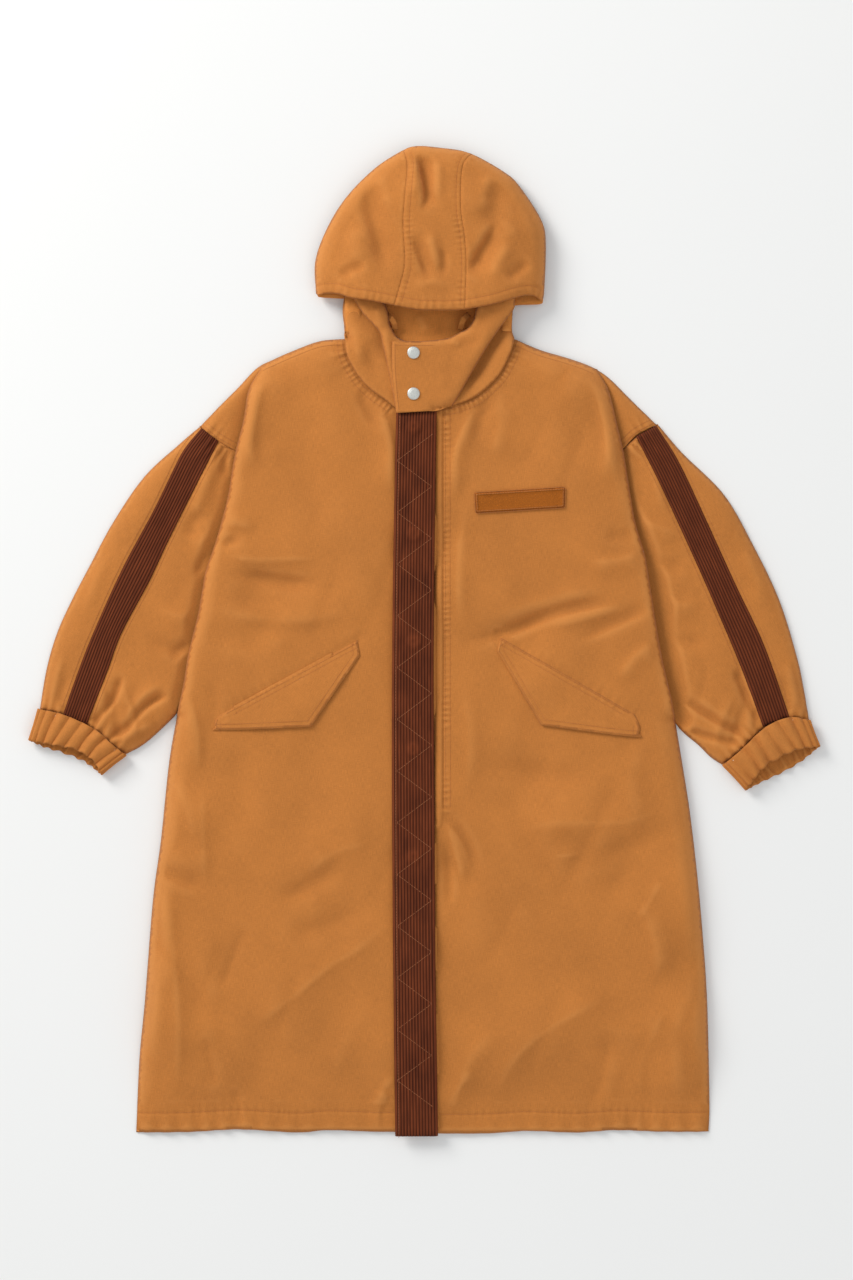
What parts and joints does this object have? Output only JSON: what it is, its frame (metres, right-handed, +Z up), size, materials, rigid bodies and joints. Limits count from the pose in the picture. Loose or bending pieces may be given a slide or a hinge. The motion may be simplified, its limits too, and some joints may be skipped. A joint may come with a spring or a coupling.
{
  "type": "hooded coat",
  "caption": "Long hooded canvas coat laid flat: snap fly with corduroy facing, zip, slanted flap pockets, striped sleeves, gathered cuffs.",
  "frame": {"origin": "under the middle of the coat's overall box, on the surface it lies on", "axes": "+Z up out of the coat's front, +Y towards the hood, +X towards the wearer's left"},
  "size_m": [0.986, 1.238, 0.046],
  "materials": {
    "canvas": "tan cotton twill, matt",
    "corduroy": "dark brown corduroy with lengthwise ribs",
    "lining_tape": "plain woven cotton tape",
    "elastic": "woven elastic",
    "loop_patch": "looped pile tape with a folded border",
    "snap_metal": "satin nickel",
    "zip_metal": "aged brass"
  },
  "bodies": {
    "coat": {"back_panel": "canvas", "left_front_panel": "canvas", "right_front_panel": "canvas", "left_pocket_bag": "lining_tape", "right_pocket_bag": "lining_tape", "left_pocket_welt": "canvas", "right_pocket_welt": "canvas", "chest_loop_patch": "loop_patch", "left_zip_tape": "lining_tape", "right_zip_tape": "lining_tape", "left_zip_teeth": "zip_metal", "right_zip_teeth": "zip_metal", "zip_bottom_stop": "zip_metal", "left_collar": "canvas", "right_collar": "canvas", "hanger_loop": "canvas", "front_snap_stud_1": "snap_metal", "front_snap_stud_2": "snap_metal", "front_snap_stud_3": "snap_metal", "front_snap_stud_4": "snap_metal", "front_snap_stud_5": "snap_metal", "collar_snap_stud_1": "snap_metal", "collar_snap_stud_2": "snap_metal"},
    "hood": {"hood_centre_panel": "canvas", "hood_left_panel": "canvas", "hood_right_panel": "canvas", "hood_back_panel": "canvas", "left_hood_cheek": "canvas", "right_hood_cheek": "canvas", "left_hood_loop": "canvas", "right_hood_loop": "canvas"},
    "left_sleeve": {"left_sleeve_back": "canvas", "left_sleeve_outer_panel": "canvas", "left_sleeve_inner_panel": "canvas", "left_sleeve_stripe": "corduroy", "left_cuff": "canvas", "left_cuff_elastic": "elastic"},
    "right_sleeve": {"right_sleeve_back": "canvas", "right_sleeve_outer_panel": "canvas", "right_sleeve_inner_panel": "canvas", "right_sleeve_stripe": "corduroy", "right_cuff": "canvas", "right_cuff_elastic": "elastic"},
    "left_flap": {"left_pocket_flap": "canvas"},
    "right_flap": {"right_pocket_flap": "canvas"},
    "front_fly": {"fly_backing": "canvas", "fly_facing": "corduroy", "fly_seam": "canvas", "throat_tab": "canvas", "front_snap_socket_1": "snap_metal", "front_snap_socket_2": "snap_metal", "front_snap_socket_3": "snap_metal", "front_snap_socket_4": "snap_metal", "front_snap_socket_5": "snap_metal", "collar_snap_cap_1": "snap_metal", "collar_snap_cap_2": "snap_metal", "collar_snap_socket_1": "snap_metal", "collar_snap_socket_2": "snap_metal"},
    "slider": {"zip_slider": "zip_metal"},
    "pull": {"zip_pull": "zip_metal"}
  },
  "joints": [
    {"name": "hood_tip", "type": "hinge", "parent": "coat", "child": "hood", "pos_m": [0.008, 0.383, 0.0246], "axis": [1, 0, 0], "range_deg": [0, 70]},
    {"name": "left_sleeve_swing", "type": "hinge", "parent": "coat", "child": "left_sleeve", "pos_m": [0.289, 0.269, 0.008], "axis": [0, 0, 1], "range_deg": [0, 25]},
    {"name": "right_sleeve_swing", "type": "hinge", "parent": "coat", "child": "right_sleeve", "pos_m": [-0.273, 0.269, 0.008], "axis": [0, 0, -1], "range_deg": [0, 25]},
    {"name": "left_flap_lift", "type": "hinge", "parent": "coat", "child": "left_flap", "pos_m": [0.0903, 0.0033, 0.0245], "axis": [-0.8763, 0.4817, 0], "range_deg": [0, 150]},
    {"name": "right_flap_lift", "type": "hinge", "parent": "coat", "child": "right_flap", "pos_m": [-0.08493, 0.0033, 0.0245], "axis": [-0.8763, -0.4817, 0], "range_deg": [0, 150]},
    {"name": "front_fly_open", "type": "hinge", "parent": "coat", "child": "front_fly", "pos_m": [0.015, -0.16, 0.028], "axis": [0, 1, 0], "range_deg": [0, 170]},
    {"name": "zip_run", "type": "slide", "parent": "coat", "child": "slider", "axis": [0, -1, 0], "range_m": [0, 0.478]},
    {"name": "zip_pull_lift", "type": "hinge", "parent": "slider", "child": "pull", "pos_m": [0.006, 0.2705, 0.02305], "axis": [-1, 0, 0], "range_deg": [0, 4]}
  ]
}
